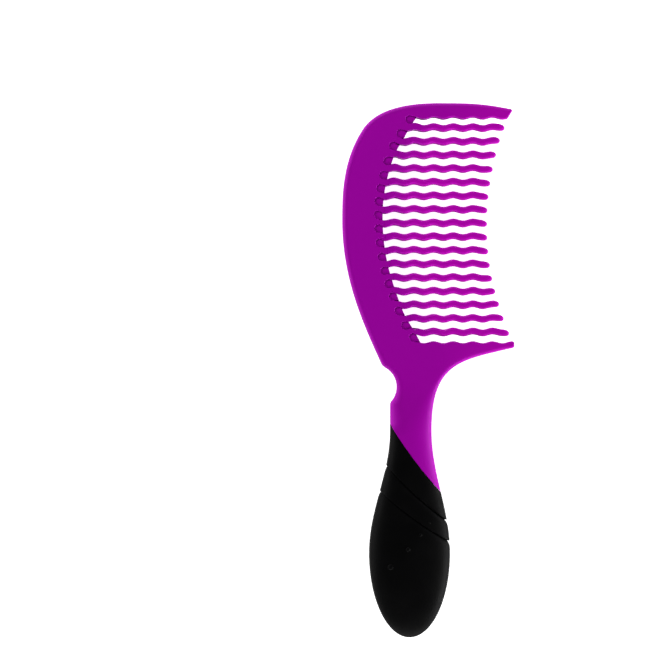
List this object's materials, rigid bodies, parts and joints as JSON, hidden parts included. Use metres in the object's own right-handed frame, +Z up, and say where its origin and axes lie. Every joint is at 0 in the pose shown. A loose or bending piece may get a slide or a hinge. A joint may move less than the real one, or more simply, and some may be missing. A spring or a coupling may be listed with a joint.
{
  "type": "wide tooth comb",
  "caption": "Wide tooth comb with wavy teeth along a curved back, a neck with a hang notch, and a soft grip with grooves and pips.",
  "frame": {"origin": "middle of the footprint, on the surface that the comb lies on", "axes": "+Y runs from the butt of the handle to the head, +X from the back towards the tips of the teeth, +Z up through the thickness"},
  "size_m": [0.0716, 0.2218, 0.0136],
  "materials": {
    "comb_plastic": "satin moulded plastic, rich purple",
    "grip_rubber": "soft matte black rubber skin"
  },
  "bodies": {
    "root": {"comb_back": "comb_plastic", "end_tooth_upper": "comb_plastic", "tooth_01": "comb_plastic", "tooth_02": "comb_plastic", "tooth_03": "comb_plastic", "tooth_04": "comb_plastic", "tooth_05": "comb_plastic", "tooth_06": "comb_plastic", "tooth_07": "comb_plastic", "tooth_08": "comb_plastic", "tooth_09": "comb_plastic", "tooth_10": "comb_plastic", "tooth_11": "comb_plastic", "tooth_12": "comb_plastic", "tooth_13": "comb_plastic", "tooth_14": "comb_plastic", "tooth_15": "comb_plastic", "tooth_16": "comb_plastic", "end_tooth_lower": "comb_plastic", "grip": "grip_rubber"}
  },
  "joints": []
}
